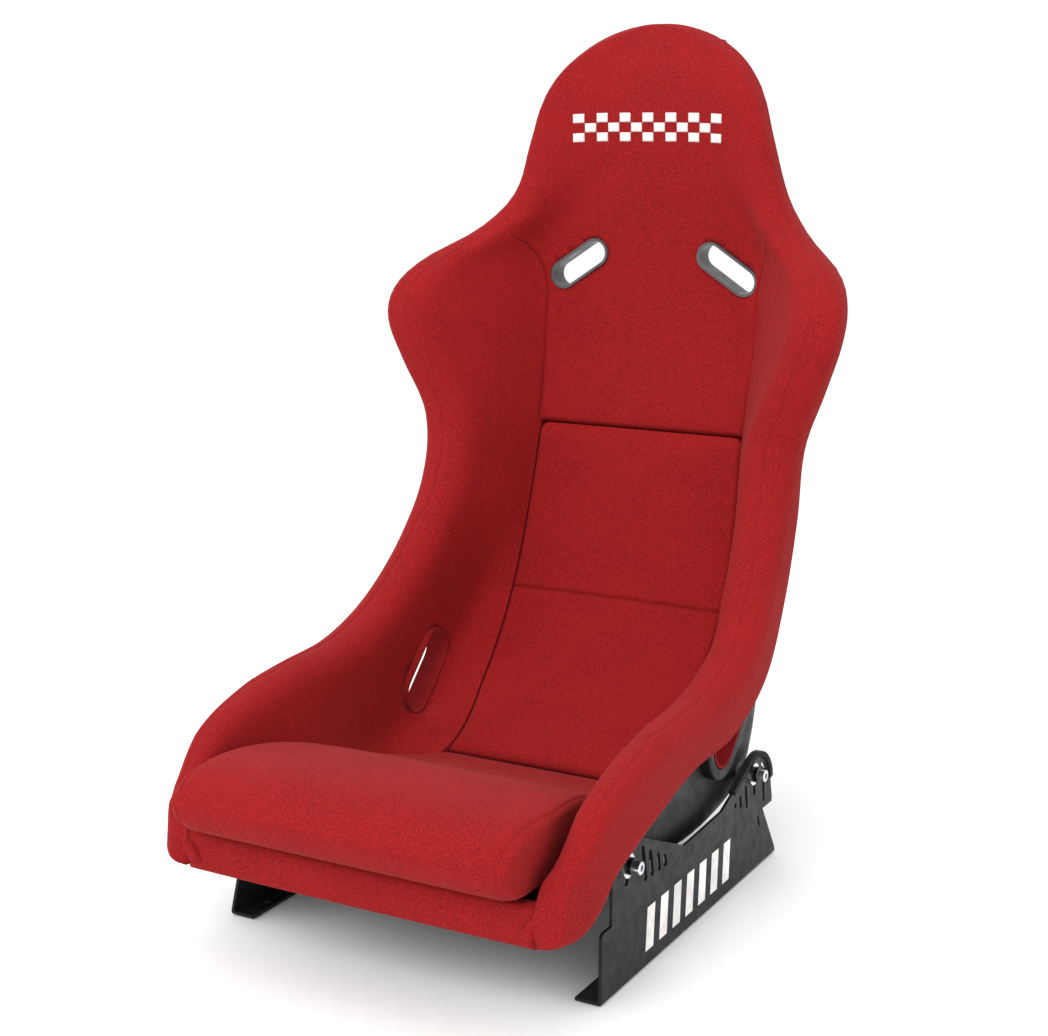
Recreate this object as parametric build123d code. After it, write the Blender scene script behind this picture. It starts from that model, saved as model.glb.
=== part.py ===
from build123d import *
import math
import os

# Fixed-back racing bucket seat on folded steel side mounts. Millimetres.
# X is across the seat, the seat faces -Y, Z is up. The origin is on the floor, at the
# centre of the four floor-bolt holes.

# Body axis: every seat section lies in a plane through this line, which runs along X.
# A section's angle is counted from straight down towards the rear.
AXIS_Y = -230.0
AXIS_Z = 640.0

# Upholstered surface: angle, floor radius, floor half-width, outer half-width,
# ridge radius, ridge thickness, depth of the outer band
SKIN = [
    (-9, 532, 190, 212, 510, 26, 38),
    (-5, 519, 188, 226, 474, 30, 64),
    (0, 527, 184, 233, 434, 36, 76),
    (10, 548, 168, 239, 417, 48, 67),
    (20, 578, 142, 241, 427, 55, 56),
    (30, 604, 118, 243, 456, 56, 58),
    (40, 611, 128, 241, 476, 55, 58),
    (50, 606, 134, 233, 478, 60, 58),
    (60, 583, 133, 228, 476, 67, 50),
    (68, 566, 130, 232, 460, 71, 38),
    (75, 560, 130, 257, 434, 73, 34),
    (81, 561, 132, 274, 421, 73, 33),
    (86, 561, 132, 273, 431, 72, 34),
    (90, 561, 132, 252, 461, 70, 34),
    (94, 560, 130, 200, 507, 60, 31),
    (98, 558, 120, 167, 533, 48, 32),
    (104, 562, 106, 147, 548, 37, 32),
    (109, 576, 90, 129, 567, 31, 33),
    (113, 600, 60, 92, 592, 28, 33),
    (115, 618, 15, 36, 606, 20, 20),
]
# Moulded shell: angle, inner radius of its base, half-width of the flat base,
# outer half-width of its flank, height of the corner between them
SHELL = [
    (-5, 545, 160, 204, 15),
    (0, 552, 160, 200, 18),
    (7, 566, 162, 191, 20),
    (14, 588, 162, 190, 20),
    (20, 612, 162, 190, 20),
    (30, 668, 162, 190, 20),
    (38, 701, 160, 190, 22),
    (45, 676, 155, 191, 35),
    (52, 643, 150, 198, 50),
    (60, 613, 145, 206, 60),
    (68, 597, 142, 213, 75),
    (75, 583, 145, 238, 95),
    (81, 577, 150, 254, 105),
    (86, 575, 150, 252, 100),
    (90, 577, 145, 230, 75),
    (94, 582, 130, 181, 35),
    (98, 590, 110, 150, 18),
    (104, 599, 95, 132, 10),
    (109, 612, 80, 114, 7),
    (113, 630, 50, 78, 5),
]
# How far the inner wall is hollowed at the hips: angle, 0 straight to 1 full
HOLLOW = [(8, 0), (14, 0), (26, 1), (46, 1), (60, 0), (66, 0)]
SHELL_T = 4.0
RIM_INSET = 10.0
FOAM_GAP = 1.5
PIECE_GAP = 1.0

# Section planes shared by the shell and the upholstery on it
ANGLES = [-5, 0, 4, 8, 12, 16, 20, 24, 28, 32, 36, 40, 44, 48, 51, 54, 58, 62, 66, 70.5, 75, 78,
          81, 84, 87, 90, 93, 95, 98, 101, 104, 107, 110, 113]

# Angles where one piece of upholstery ends and the next begins
CREASE = 29.0
LUMBAR_SEAM = 51.0
LUMBAR_TOP = 70.5
WING_END = 93.0
BACK_END = 95.0
HEAD_TOP = 115.0
SEAM_GAP = 0.15
LUMBAR_TAPER = 9.0

# Seat cushion: angle, top radius, height of its underside above what it lies on, half-width
CUSHION = [
    (-10.8, 496, 8, 176),
    (-10, 486, 3, 180),
    (-8, 466, 0, 183),
    (-5, 453, 0, 183),
    (-3.4, 452, 0, 184),
    (-2.2, 452, 0, 182),
    (0, 453, 0, 181),
    (4, 458, 0, 175),
    (8, 468, 0, 167),
    (12, 486, 0, 157),
    (16, 512, 0, 146),
    (20, 542, 0, 136),
    (24, 572, 0, 124),
    (28, 603, 0, 113),
]
CUSHION_FRONT_Z = 128.5
CUSHION_REAR_Y = 61.0

# Front lip of the shell, under the cushion
LIP_HALF = 183.0
LIP_PROFILE = [(-298, 91), (-298, 121), (-291, 127.5), (-262, 127.5), (-262, 105),
               (-281, 105), (-281, 85), (-292, 85)]
NOSE_FOOT = 552.0
NOSE_END = -8.5

# Harness slots through the back, and lap-belt slots through the sides
HARNESS_OUTER = (114.0, 620.0)
HARNESS_INNER = (73.0, 647.0)
HARNESS_WIDTH = 27.0
BEZEL_WALL = 3.0
BEZEL_Y = (328.0, 355.0)
BELT_CENTRE = (115.0, 181.0)
BELT_LENGTH = 102.0
BELT_WIDTH = 46.0
BELT_ANGLE = 45.0
BELT_WALL = 2.5
BELT_X = (174.0, 202.5)
BELT_PANEL_X = 202.0
BELT_PANEL_RIM = 12.0

# Side mounts, one folded sheet each
PLATE_T = 3.0
PLATE_X = 204.0
FOLD_Z = 61.0
WEB_FOOT_X = 213.0
FLANGE_IN_X = 185.0
FRONT_BOLT = (-146.0, 115.0)
REAR_BOLT = (163.0, 108.0)
ARCH_CENTRE = (171.0, 81.0)
ARCH_R = 46.5
SLOPE_FOOT = (107.0, 102.0)
GUARD_OUT = 2.2
GUARD_IN = 4.0
GUARD_W = 7.0
FLOOR_HOLE_X = 197.0
FLOOR_HOLE_Y = 170.0
FLOOR_HOLE_R = 4.5
TILT_DOWN = 3.0
TILT_UP = 1.0

# M8 hardware
BOLT_R = 4.0
BOLT_FIT = 0.05
HEAD_R = 6.5
HEAD_L = 8.0
SOCKET_AF = 6.0
WASHER_R = 12.0
WASHER_T = 2.5
COLLAR_R = 8.5
COLLAR_L = 5.0
SPACER_R = 10.0
INSERT_R = 9.0
INSERT_L = 8.0
HARDWARE_GAP = 0.06
FLANK_X = 190.0


def table_value(table, angle, column):
    """Smooth value between the rows of a table, by cubic interpolation."""
    count = len(table)
    row = 0
    while row < count - 2 and angle > table[row + 1][0]:
        row += 1

    def slope(k):
        low, high = max(k - 1, 0), min(k + 1, count - 1)
        return (table[high][column] - table[low][column]) / (table[high][0] - table[low][0])

    width = table[row + 1][0] - table[row][0]
    t = (angle - table[row][0]) / width
    return (
        (2 * t**3 - 3 * t**2 + 1) * table[row][column]
        + (t**3 - 2 * t**2 + t) * width * slope(row)
        + (3 * t**2 - 2 * t**3) * table[row + 1][column]
        + (t**3 - t**2) * width * slope(row + 1)
    )


def place(angle, x, radius):
    """The point at x and radius in the section plane at this angle."""
    a = math.radians(angle)
    return (x, AXIS_Y + radius * math.sin(a), AXIS_Z - radius * math.cos(a))


def section_face(angle, outline):
    return Face(Wire.make_polygon([place(angle, x, r) for x, r in outline], close=True))


def loft_between(outline_at, low, high):
    """Solid through the section planes from low to high, straight from one to the next."""
    angles = [low] + [a for a in ANGLES if low < a < high] + [high]
    return loft([section_face(a, outline_at(a)) for a in angles], ruled=True)


def both_sides(half):
    """Closes a half outline, given from the inner line out, by its mirror image."""
    return half + [(-x, r) for x, r in reversed(half) if x > 0]


def mirrored(shape):
    return mirror(shape, about=Plane.YZ)


def skin_at(angle):
    return [table_value(SKIN, angle, k) for k in range(1, 7)]


def shell_at(angle):
    return [table_value(SHELL, angle, k) for k in range(1, 5)]


def shell_lines(angle):
    """Half outlines of the shell's inside and outside, from the middle to the rim."""
    base, base_half, flank, corner = shell_at(angle)
    _, _, outer, ridge, _, band = skin_at(angle)
    flank_top = min(ridge + band + 6, base - 4)
    flare = min(ridge + band - 4, flank_top - 6)
    rim_top = min(ridge + 24, ridge + 0.6 * band, flare - 8)
    bend = max(base - corner, flank_top + 1)
    rim = outer - RIM_INSET
    t = SHELL_T
    inside = [(0, base), (base_half, base), (flank - t, bend), (flank - t, flank_top - t),
              (rim - t, flare - t), (rim - t, rim_top)]
    outside = [(0, base + t), (base_half + 2, base + t), (flank, bend + 1), (flank, flank_top),
               (rim, flare), (rim, rim_top)]
    return inside, outside


def shell_outline(angle):
    inside, outside = shell_lines(angle)
    return both_sides(outside + list(reversed(inside)))


def shell_depth(angle, x):
    """Radius of the shell's inner face at x, over its base and the slope beside it."""
    inside = shell_lines(angle)[0]
    (_, base), (base_half, _), (side, bend) = inside[:3]
    if x <= base_half:
        return base
    return base + (bend - base) * (x - base_half) / (side - base_half)


def wing_edge(angle):
    """Half-width of the seam between the centre panel and the side bolster."""
    floor_half = skin_at(angle)[1]
    return floor_half + max(0.0, angle - 86) ** 2 * 0.55


def skin_radius(angle, x):
    """Radius of the upholstered surface at x, inside the ridge."""
    floor, floor_half, outer, ridge, thick, _ = skin_at(angle)
    if x <= floor_half:
        return floor
    wall_x = outer - thick
    wall_r = ridge + thick / 2
    return floor + (wall_r - floor) * min(1.0, (x - floor_half) / (wall_x - floor_half))


def ridge_points(angle):
    """The rounded ridge, from the top of the inner wall to the foot of the outer band."""
    _, _, outer, ridge, thick, band = skin_at(angle)
    shoulder = min(0.45 * thick, 0.5 * band)
    return [(outer - thick, ridge + thick / 2), (outer - 0.82 * thick, ridge + 0.15 * thick),
            (outer - 0.5 * thick, ridge), (outer - 0.16 * thick, ridge + min(0.16 * thick, 0.2 * band)),
            (outer, ridge + shoulder), (outer, ridge + band - 3)]


def wall_points(angle):
    """The inner wall between the floor and the ridge, hollowed where the hips sit."""
    _, _, outer, ridge, thick, _ = skin_at(angle)
    edge = wing_edge(angle) + PIECE_GAP / 2
    start = skin_radius(angle, edge)
    share = table_value(HOLLOW, angle, 1) if HOLLOW[0][0] < angle < HOLLOW[-1][0] else 0
    points = [(edge, start)]
    for even, (across, up) in ((0.35, (0.75, 0.10)), (0.65, (0.86, 0.36))):
        x = edge + (outer - thick - edge) * (even + share * (across - even))
        points.append((x, start + (ridge + thick / 2 - start) * (even + share * (up - even))))
    return points


def foam_back(angle):
    """Underside of the foam, clear of the shell, from the band's foot to the base."""
    inside, outside = shell_lines(angle)
    rim = outside[-1][0]
    rim_top = outside[-1][1]
    foot = ridge_points(angle)[-1][1]
    g = FOAM_GAP
    return [(rim + g / 2, foot), (rim + g / 2, rim_top - g), (rim - SHELL_T - g, rim_top - g),
            (inside[4][0] - g, inside[4][1] - g), (inside[3][0] - g, inside[3][1] - g),
            (inside[2][0] - g, inside[2][1] - g)]


def bolster_outline(angle):
    edge = wing_edge(angle) + PIECE_GAP / 2
    corner = max(shell_at(angle)[1] - 4, edge + 4)
    outline = wall_points(angle) + ridge_points(angle) + foam_back(angle)
    return outline + [(x, shell_depth(angle, x) - 2 * FOAM_GAP) for x in (corner, edge)]


def centre_outline(angle, taper):
    """A pad between the bolsters, from the upholstered surface down to the shell.

    Its back is narrower than its face by the taper on each side.
    """
    half = min(wing_edge(angle) - PIECE_GAP, shell_lines(angle)[0][2][0] - 2 * FOAM_GAP)
    back = half - taper
    tops = [(x, skin_radius(angle, x)) for x in (0, half * 0.85, half)]
    unders = [(x, shell_depth(angle, x) - 2 * FOAM_GAP) for x in (back, back * 0.85, 0)]
    return both_sides(tops + unders)


def head_outline(angle):
    floor, floor_half, _, _, _, _ = skin_at(angle)
    back = shell_at(min(angle, 113))[0] - FOAM_GAP
    lines = foam_back(min(angle, 113))
    shrink = skin_at(angle)[2] / skin_at(min(angle, 113))[2]
    rise = skin_at(angle)[3] - skin_at(min(angle, 113))[3]
    under = [(x * shrink, r + rise) for x, r in lines]
    right = [(floor_half, floor)] + ridge_points(angle) + under
    return both_sides([(0, floor)] + right + [(0, back + rise)])


def obround(plane, start, end, width, depth):
    """A prism of rounded-slot section between two centres given in the plane."""
    length = math.dist(start, end)
    middle = ((start[0] + end[0]) / 2, (start[1] + end[1]) / 2)
    turn = math.degrees(math.atan2(end[1] - start[1], end[0] - start[0]))
    return extrude(plane * Pos(*middle) * Rot(0, 0, turn) * SlotCenterToCenter(length, width), depth)


def belt_ends():
    reach = (BELT_LENGTH - BELT_WIDTH) / 2
    a = math.radians(BELT_ANGLE)
    y, z = BELT_CENTRE
    return ((y - reach * math.cos(a), z - reach * math.sin(a)),
            (y + reach * math.cos(a), z + reach * math.sin(a)))


def belt_cutter(extra):
    start, end = belt_ends()
    side = Plane(origin=(60, 0, 0), x_dir=(0, 1, 0), z_dir=(1, 0, 0))
    return obround(side, start, end, BELT_WIDTH + 2 * extra, 200)


def harness_cutter(extra):
    front = Plane(origin=(0, 420, 0), x_dir=(1, 0, 0), z_dir=(0, -1, 0))
    return obround(front, HARNESS_INNER, HARNESS_OUTER, HARNESS_WIDTH + 2 * extra, 160)


def rod(centre, radius, x0, x1):
    y, z = centre
    plane = Plane(origin=(x0, y, z), x_dir=(0, 1, 0), z_dir=(1, 0, 0))
    return extrude(plane * Circle(radius), x1 - x0)


# --- moulded shell -----------------------------------------------------------------


def belt_panel(extra):
    """Raised panel around a lap-belt slot, on the outside of the flank, grown by extra."""
    start, end = belt_ends()
    flank = Plane(origin=(FLANK_X - SHELL_T / 2, 0, 0), x_dir=(0, 1, 0), z_dir=(1, 0, 0))
    depth = BELT_PANEL_X - FLANK_X + SHELL_T / 2
    width = BELT_WIDTH + 2 * (BELT_WALL + PIECE_GAP + BELT_PANEL_RIM + extra)
    return obround(flank, start, end, width, depth)


def make_shell():
    shell = loft_between(shell_outline, ANGLES[0], ANGLES[-1])
    shell += belt_panel(0)
    shell += mirrored(belt_panel(0))
    for cutter in (belt_cutter(BELT_WALL + PIECE_GAP), harness_cutter(BEZEL_WALL + PIECE_GAP)):
        shell -= cutter
        shell -= mirrored(cutter)
    for bolt in (FRONT_BOLT, REAR_BOLT):
        hole = rod(bolt, BOLT_R + 0.3, 150, 230)
        shell -= hole
        shell -= mirrored(hole)
    return shell


# --- upholstery --------------------------------------------------------------------


def make_bolster():
    bolster = loft_between(bolster_outline, ANGLES[0], WING_END)
    bolster -= belt_cutter(BELT_WALL + PIECE_GAP)
    bolster -= belt_panel(FOAM_GAP)
    for bolt in (FRONT_BOLT, REAR_BOLT):
        bolster -= rod(bolt, INSERT_R + 2, 60, FLANK_X + 3)
    return bolster + loft([section_face(a, nose_outline(a)) for a in (ANGLES[0], NOSE_END)])


def nose_outline(angle):
    """Solid front end of the bolster, ahead of the shell's edge."""
    ridge = ridge_points(angle)
    inner = ridge[0][0] + 1
    low = NOSE_FOOT + (ANGLES[0] - angle) * 2
    return ridge + [(ridge[-1][0] - 16, low), (inner, low)]


def make_front_lip():
    face = Face(Wire.make_polygon([(-LIP_HALF, y, z) for y, z in LIP_PROFILE], close=True))
    return extrude(face, 2 * LIP_HALF, dir=(1, 0, 0))


def make_lumbar(low, high):
    return loft_between(lambda angle: centre_outline(angle, LUMBAR_TAPER), low, high)


def below_lumbar():
    """All below the face on which the lumbar cushion slides out, square to its top edge."""
    a = math.radians(LUMBAR_TOP)
    crease = place(CREASE, 0, table_value(SKIN, CREASE, 1))
    face = Plane(origin=crease, x_dir=(1, 0, 0), z_dir=(0, -math.cos(a), -math.sin(a)))
    return extrude(face * Rectangle(400, 400), 200)


def make_upper_back():
    pad = loft_between(lambda angle: centre_outline(angle, 0), LUMBAR_TOP + SEAM_GAP, BACK_END)
    cutter = harness_cutter(BEZEL_WALL + 0.3)
    return pad - cutter - mirrored(cutter)


def make_headrest():
    return loft_between(head_outline, BACK_END + 2 * SEAM_GAP, HEAD_TOP)


def make_cushion():
    sections = []
    for angle, top, rise, half in CUSHION:
        on_lip = (AXIS_Z - CUSHION_FRONT_Z) / math.cos(math.radians(angle)) - rise
        unders = []
        for x in (half, half * 0.85, 0):
            on_shell = shell_depth(angle, x) - 2 * FOAM_GAP if angle > -3 else on_lip
            unders.append((x, on_shell))
        depth = unders[0][1] - top
        edge = min(14.0, depth * 0.3)
        outline = both_sides([(0, top), (half - edge, top), (half + 2, top + edge),
                              (half + 2, top + depth * 0.7)] + unders)
        sections.append(section_face(angle, outline))
    behind = Pos(0, CUSHION_REAR_Y + 100, 100) * Box(400, 200, 400)
    return loft(sections, ruled=True) - behind


# --- slot trims --------------------------------------------------------------------


def make_bezel():
    ring = harness_cutter(BEZEL_WALL) - harness_cutter(0)
    low, high = BEZEL_Y
    return ring & Pos(0, (low + high) / 2, 633) * Box(400, high - low, 200)


def make_belt_trim():
    ring = belt_cutter(BELT_WALL) - belt_cutter(0)
    low, high = BELT_X
    return ring & Pos((low + high) / 2, *BELT_CENTRE) * Box(high - low, 200, 200)


# --- side mounts -------------------------------------------------------------------


def yz_face(points):
    return Face(Wire.make_polygon([(0, y, z) for y, z in points], close=True))


def slope_top():
    """Where the straight edge from SLOPE_FOOT runs tangent into the rear eye."""
    dy = ARCH_CENTRE[0] - SLOPE_FOOT[0]
    dz = ARCH_CENTRE[1] - SLOPE_FOOT[1]
    away = math.hypot(dy, dz)
    heading = math.atan2(dz, dy) + math.asin(ARCH_R / away)
    run = math.sqrt(away**2 - ARCH_R**2)
    return (SLOPE_FOOT[0] + run * math.cos(heading), SLOPE_FOOT[1] + run * math.sin(heading))


def plate_outline():
    """Upper part of the mount: two eyes for the seat bolts and a dip between them."""
    body = yz_face([(-176, FOLD_Z - 3), (-176, 112), (-152, 139), (-132, 139), (-13, 88), (80, 92),
                    SLOPE_FOOT, slope_top(), (190, 100), (ARCH_CENTRE[0] + ARCH_R, ARCH_CENTRE[1]),
                    (222, FOLD_Z + 3), (222, FOLD_Z - 3)])
    side = Plane(origin=(0, 0, 0), x_dir=(0, 1, 0), z_dir=(1, 0, 0))
    eye = side * Pos(*ARCH_CENTRE) * Circle(ARCH_R)
    above = side * Pos(ARCH_CENTRE[0], ARCH_CENTRE[1] + ARCH_R) * Rectangle(4 * ARCH_R, 2 * ARCH_R)
    return body + (eye & above)


def straight_slot(start, end, width):
    side = Plane(origin=(PLATE_X - 5, 0, 0), x_dir=(0, 1, 0), z_dir=(1, 0, 0))
    return obround(side, start, end, width, 20)


def arc_slot(centre, radius, start, end, width):
    """A curved slot in the plate, about a centre, between two angles in degrees."""
    side = Plane(origin=(PLATE_X - 5, 0, 0), x_dir=(0, 1, 0), z_dir=(1, 0, 0))
    middle = side * Pos(*centre) * SlotArc(CenterArc((0, 0), radius, start, end - start), width)
    return extrude(middle, 20)


def mount_slots():
    cuts = [rod(REAR_BOLT, BOLT_R + BOLT_FIT, 195, 220)]
    reach = math.dist(FRONT_BOLT, REAR_BOLT)
    rest = math.degrees(math.atan2(FRONT_BOLT[1] - REAR_BOLT[1], FRONT_BOLT[0] - REAR_BOLT[0]))
    cuts.append(arc_slot(REAR_BOLT, reach, rest - TILT_UP - 0.1, rest + TILT_DOWN + 0.1,
                         2 * (BOLT_R + BOLT_FIT)))
    for start, end, width in (
        ((-111, 119), (-104, 87), 7),
        ((-94, 109), (-89, 87), 7),
        ((-76, 100), (-73, 86), 6.5),
        ((-61, 93), (-58.5, 85.5), 6.5),
        ((130.5, 91), (132, 81.5), 5),
        ((144.5, 98), (149.5, 75.5), 5),
        ((169, 91), (169.5, 85), 6),
        ((192, 104), (197.5, 68), 5),
        ((180, 52), (182, 44), 4),
    ):
        cuts.append(straight_slot(start, end, width))
    cuts.append(arc_slot(ARCH_CENTRE, 36.5, 12, 58, 5))
    cuts.append(rod((117, 87), 3, 195, 220))
    return cuts


def make_mount():
    upper = extrude(plate_outline(), PLATE_T, dir=(1, 0, 0)).moved(Location((PLATE_X, 0, 0)))
    outer = PLATE_X + PLATE_T
    foot = WEB_FOOT_X
    t = PLATE_T
    fold = Polyline([(PLATE_X, FOLD_Z + 4), (outer, FOLD_Z + 4), (outer, FOLD_Z), (foot, 0),
                     (FLANGE_IN_X, 0), (FLANGE_IN_X, t), (foot - t - 0.4, t), (PLATE_X, FOLD_Z)],
                    close=True)
    bent = extrude(Plane.XZ * make_face(fold), 600, both=True)
    side = yz_face([(-208, -1), (-208, 6), (-197, 61), (-193, 66), (-176, 66), (-176, 70), (193, 70),
                    (193, FOLD_Z), (219, 8), (221, -1)])
    lower = bent & extrude(side, 260, dir=(1, 0, 0))
    mount = upper + lower
    for cut in mount_slots():
        mount -= cut
    for y in (-FLOOR_HOLE_Y, FLOOR_HOLE_Y):
        mount -= Pos(FLOOR_HOLE_X, y, 0) * Cylinder(FLOOR_HOLE_R, 20)
    bottom = [e for e in mount.edges().filter_by(Axis.Y)
              if abs(e.center().Z) < 0.1 and abs(e.center().X - foot) < 0.1]
    return fillet(bottom, 2.5)


def make_edge_guard():
    """Ribbed rubber strip that grips the slanted edge and the rear eye of the mount."""
    side = Plane(origin=(0, 0, 0), x_dir=(0, 1, 0), z_dir=(1, 0, 0))
    foot, top = SLOPE_FOOT, slope_top()
    run = math.dist(foot, top)
    heading = math.degrees(math.atan2(top[1] - foot[1], top[0] - foot[0]))
    width = GUARD_OUT + GUARD_IN
    straight = side * Pos(*foot) * Rot(0, 0, heading) * Pos(run / 2 + 2, (GUARD_OUT - GUARD_IN) / 2)
    straight *= Rectangle(run - 4, width)
    ring = side * Pos(*ARCH_CENTRE) * (Circle(ARCH_R + GUARD_OUT) - Circle(ARCH_R - GUARD_IN))
    beyond = tuple(2 * t - c for t, c in zip(top, ARCH_CENTRE))
    window = yz_face([ARCH_CENTRE, beyond, (260, 160), (260, 97)])
    strip = extrude((straight + (ring & window)).clean(), GUARD_W, dir=(1, 0, 0))
    strip = strip.moved(Location((PLATE_X + (PLATE_T - GUARD_W) / 2, 0, 0)))
    groove = extrude(plate_outline(), PLATE_T, dir=(1, 0, 0)).moved(Location((PLATE_X, 0, 0)))
    return strip - groove


# --- hardware ----------------------------------------------------------------------


def make_hardware():
    """Bolts, washers, collars, spacers and inserts of one side, each a list of solids."""
    sets = {"mount_bolts": [], "bolt_washers": [], "bolt_collars": [], "shell_spacers": [],
            "threaded_inserts": []}
    face = PLATE_X + PLATE_T + HARDWARE_GAP
    collar = face + WASHER_T
    head = collar + COLLAR_L
    for bolt in (FRONT_BOLT, REAR_BOLT):
        hole = rod(bolt, BOLT_R + BOLT_FIT, 150, 240)
        shank = rod(bolt, BOLT_R, FLANK_X - SHELL_T - INSERT_L + 1, head)
        cap = rod(bolt, HEAD_R, head, head + HEAD_L)
        cap = fillet(cap.edges().group_by(Axis.X)[-1], 0.8)
        side = Plane(origin=(head + HEAD_L - 4, *bolt), x_dir=(0, 1, 0), z_dir=(1, 0, 0))
        hexagon = side * RegularPolygon(SOCKET_AF / 2, 6, major_radius=False)
        sets["mount_bolts"].append(shank + cap - extrude(hexagon, 6))
        washer = rod(bolt, WASHER_R, face, collar) - hole
        sets["bolt_washers"].append(washer)
        sets["bolt_collars"].append(rod(bolt, COLLAR_R, collar, head) - hole)
        spacer = rod(bolt, SPACER_R, FLANK_X + 0.6, PLATE_X - HARDWARE_GAP)
        sets["shell_spacers"].append(spacer - hole)
        inner = FLANK_X - SHELL_T - 0.6
        insert = rod(bolt, INSERT_R, inner - INSERT_L, inner)
        sets["threaded_inserts"].append(insert - hole)
    return sets


def make_floor_strips():
    """Hook-and-loop strips on the shell floor, which hold the seat cushion."""
    strips = []
    for x in (-70, 70):
        face = Face(Wire.make_polygon([place(a, x - 25, table_value(SHELL, a, 1) - r)
                                       for a, r in ((4, 0.3), (16, 0.3), (16, 1.2), (4, 1.2))],
                                      close=True))
        strips.append(extrude(face, 50, dir=(1, 0, 0)))
    return strips


def make_badge():
    """Embroidered patch on the headrest, a plain rounded bar."""
    plane = Plane(origin=(0, 309, 792), x_dir=(1, 0, 0), z_dir=(0, -1, 0.2))
    return extrude(plane * RectangleRounded(150, 22, 8), 1.2)


def save(node, shape):
    if isinstance(shape, list):
        shape = Compound(children=[s for one in shape for s in one.solids()])
    shape.label = node
    export_step(shape, f"parts/{node}.step")


def main():
    os.makedirs("parts", exist_ok=True)
    save("seat_shell", make_shell())
    save("front_lip_pad", make_front_lip())
    save("headrest_pad", make_headrest())
    save("upper_back_pad", make_upper_back())
    save("lumbar_cushion_upper", make_lumbar(LUMBAR_SEAM, LUMBAR_TOP - SEAM_GAP))
    save("lumbar_cushion_lower", make_lumbar(CREASE, LUMBAR_SEAM) - below_lumbar())
    save("seat_cushion", make_cushion())
    sided = {
        "side_bolster": make_bolster(),
        "harness_bezel": make_bezel(),
        "belt_slot_trim": make_belt_trim(),
        "side_mount": make_mount(),
        "mount_edge_guard": make_edge_guard(),
    }
    for node, right in sided.items():
        save(node + "_right", right)
        save(node + "_left", mirrored(right))
    for node, solids in make_hardware().items():
        save(node, solids + [mirrored(s) for s in solids])
    save("cushion_hook_strips", make_floor_strips())
    save("head_badge", make_badge())


main()
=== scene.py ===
import math

import bmesh
import bpy
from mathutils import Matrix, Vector


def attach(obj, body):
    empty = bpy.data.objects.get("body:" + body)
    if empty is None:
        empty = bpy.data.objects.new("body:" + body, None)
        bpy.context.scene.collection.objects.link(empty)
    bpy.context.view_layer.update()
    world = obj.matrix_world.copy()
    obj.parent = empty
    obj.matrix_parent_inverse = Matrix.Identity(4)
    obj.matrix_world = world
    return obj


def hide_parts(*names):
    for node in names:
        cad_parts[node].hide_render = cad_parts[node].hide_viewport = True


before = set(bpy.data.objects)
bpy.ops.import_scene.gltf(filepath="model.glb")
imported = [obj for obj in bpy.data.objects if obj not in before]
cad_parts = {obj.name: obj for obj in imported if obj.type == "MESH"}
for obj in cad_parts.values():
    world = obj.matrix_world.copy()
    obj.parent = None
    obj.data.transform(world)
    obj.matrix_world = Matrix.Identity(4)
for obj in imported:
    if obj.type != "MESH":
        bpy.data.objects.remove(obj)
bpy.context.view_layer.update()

bl_info = {
    "name": "Racing seat",
    "version": (1, 0, 0),
    "blender": (4, 5, 0),
    "location": "View3D > Sidebar > Racing seat",
    "description": "Upholstery, trims and finishes of a fixed-back racing seat on side mounts",
    "category": "Object",
}

MM = 0.001
SIDES = (("right", 1), ("left", -1))

# The seat's sections lie in planes through a line along X. Angles are in degrees, counted
# from straight down towards the rear, and radii from that line, in millimetres.
AXIS_Y, AXIS_Z = -230.0, 640.0

# Upholstered surface: angle, floor radius, floor half-width, outer half-width,
# ridge radius, ridge thickness, depth of the outer band
SKIN = [
    (-9, 532, 190, 212, 510, 26, 38),
    (-5, 519, 188, 226, 474, 30, 64),
    (0, 527, 184, 233, 434, 36, 76),
    (10, 548, 168, 239, 417, 48, 67),
    (20, 578, 142, 241, 427, 55, 56),
    (30, 604, 118, 243, 456, 56, 58),
    (40, 611, 128, 241, 476, 55, 58),
    (50, 606, 134, 233, 478, 60, 58),
    (60, 583, 133, 228, 476, 67, 50),
    (68, 566, 130, 232, 460, 71, 38),
    (75, 560, 130, 257, 434, 73, 34),
    (81, 561, 132, 274, 421, 73, 33),
    (86, 561, 132, 273, 431, 72, 34),
    (90, 561, 132, 252, 461, 70, 34),
    (94, 560, 130, 200, 507, 60, 31),
    (98, 558, 120, 167, 533, 48, 32),
    (104, 562, 106, 147, 548, 37, 32),
    (109, 576, 90, 129, 567, 31, 33),
    (113, 600, 60, 92, 592, 28, 33),
    (115, 618, 15, 36, 606, 20, 20),
]
# Moulded shell: angle, inner radius of its base, half-width of the flat base,
# outer half-width of its flank, height of the corner between them
SHELL = [
    (-5, 545, 160, 204, 15),
    (0, 552, 160, 200, 18),
    (7, 566, 162, 191, 20),
    (14, 588, 162, 190, 20),
    (20, 612, 162, 190, 20),
    (30, 668, 162, 190, 20),
    (38, 701, 160, 190, 22),
    (45, 676, 155, 191, 35),
    (52, 643, 150, 198, 50),
    (60, 613, 145, 206, 60),
    (68, 597, 142, 213, 75),
    (75, 583, 145, 238, 95),
    (81, 577, 150, 254, 105),
    (86, 575, 150, 252, 100),
    (90, 577, 145, 230, 75),
    (94, 582, 130, 181, 35),
    (98, 590, 110, 150, 18),
    (104, 599, 95, 132, 10),
    (109, 612, 80, 114, 7),
    (113, 630, 50, 78, 5),
]
# How far the inner wall is hollowed at the hips: angle, 0 straight to 1 full
HOLLOW = [(8, 0), (14, 0), (26, 1), (46, 1), (60, 0), (66, 0)]
SHELL_T = 4.0
RIM_INSET = 10.0
FOAM_GAP = 1.5

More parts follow.
